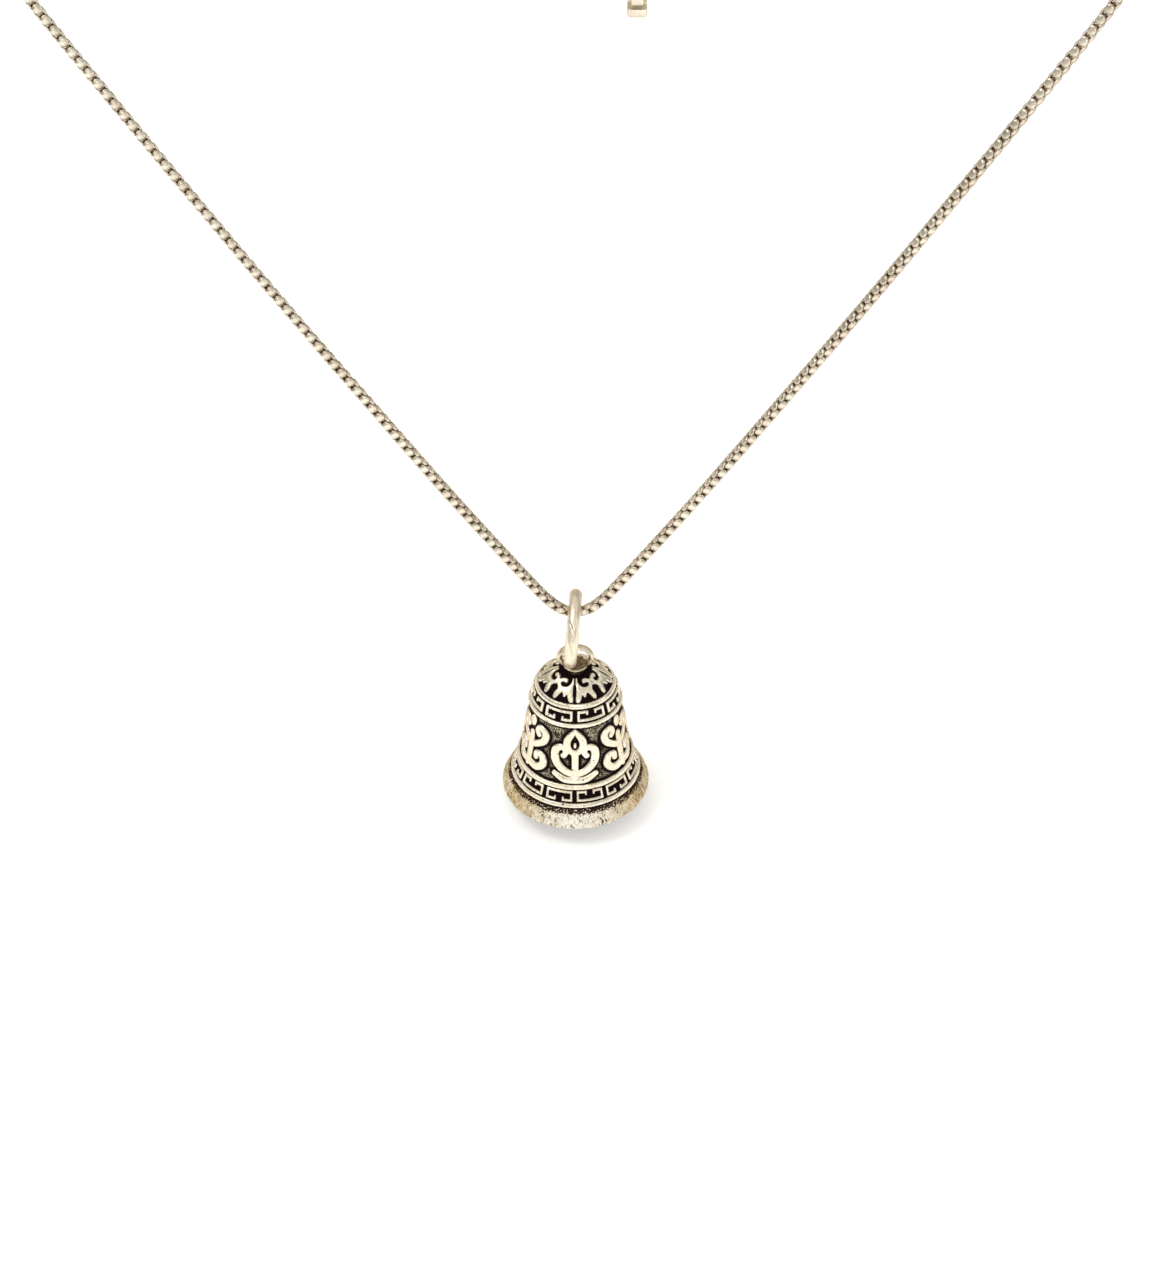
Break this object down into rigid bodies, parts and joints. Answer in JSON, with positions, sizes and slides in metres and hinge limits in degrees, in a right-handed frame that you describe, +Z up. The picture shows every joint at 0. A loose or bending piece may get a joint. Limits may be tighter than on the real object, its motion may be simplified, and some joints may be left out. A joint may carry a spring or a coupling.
{
  "type": "bell pendant necklace",
  "caption": "Small oxidised metal bell with relief bands, hung by a ring on a box chain with a lobster clasp, for wear or ritual use.",
  "frame": {"origin": "midway between the chain's two shoulders, level with the underside of the chain where a neck or display form holds it up", "axes": "+Z up, +X to the right of the bell's front, -Y out of the bell's front; the chain loop lies in the XZ plane"},
  "size_m": [0.1352, 0.0192, 0.1569],
  "materials": {
    "chain_silver": "antiqued sterling silver, bright edges and dark gaps",
    "polished_silver": "hand-polished sterling silver with small dents",
    "oxidised_silver": "sterling silver, raised work polished and recesses blackened",
    "clapper_silver": "plain sterling silver, lightly tarnished",
    "spring_steel": "plain spring steel"
  },
  "bodies": {
    "chain": {"box_chain": "chain_silver", "chain_end_cap_left": "chain_silver", "chain_end_cap_right": "chain_silver", "catch_ring": "polished_silver", "clasp_ring": "polished_silver", "clasp_body": "polished_silver", "clasp_pin": "spring_steel", "clasp_spring": "spring_steel"},
    "lever": {"clasp_lever": "polished_silver"},
    "ring": {"pendant_ring": "polished_silver"},
    "bell": {"bell_shell": "oxidised_silver", "crown_loop": "oxidised_silver", "clapper_eye": "clapper_silver"},
    "link": {"clapper_link": "clapper_silver"},
    "clapper": {"clapper_rod": "clapper_silver", "clapper_bob": "clapper_silver"}
  },
  "joints": [
    {"name": "ring_swing", "type": "hinge", "parent": "chain", "child": "ring", "pos_m": [0, 0, -0.127], "axis": [1, 0, 0], "range_deg": [-75, 75]},
    {"name": "bell_swing", "type": "hinge", "parent": "ring", "child": "bell", "pos_m": [-0.00059, 0, -0.13404], "axis": [0.0521, 0.9986, -0.0036], "range_deg": [-45, 45]},
    {"name": "link_swing", "type": "hinge", "parent": "bell", "child": "link", "pos_m": [0, 0, -0.13917], "axis": [1, 0, 0], "range_deg": [-15, 15]},
    {"name": "clapper_swing", "type": "hinge", "parent": "link", "child": "clapper", "pos_m": [0, 0, -0.14056], "axis": [0, 1, 0], "range_deg": [-17, 17]},
    {"name": "lever_open", "type": "hinge", "parent": "chain", "child": "lever", "pos_m": [0.0068, -0.0017, -0.0369], "axis": [1, 0, 0], "range_deg": [0, 22], "stiffness_Nm_per_rad": 0.0005}
  ]
}
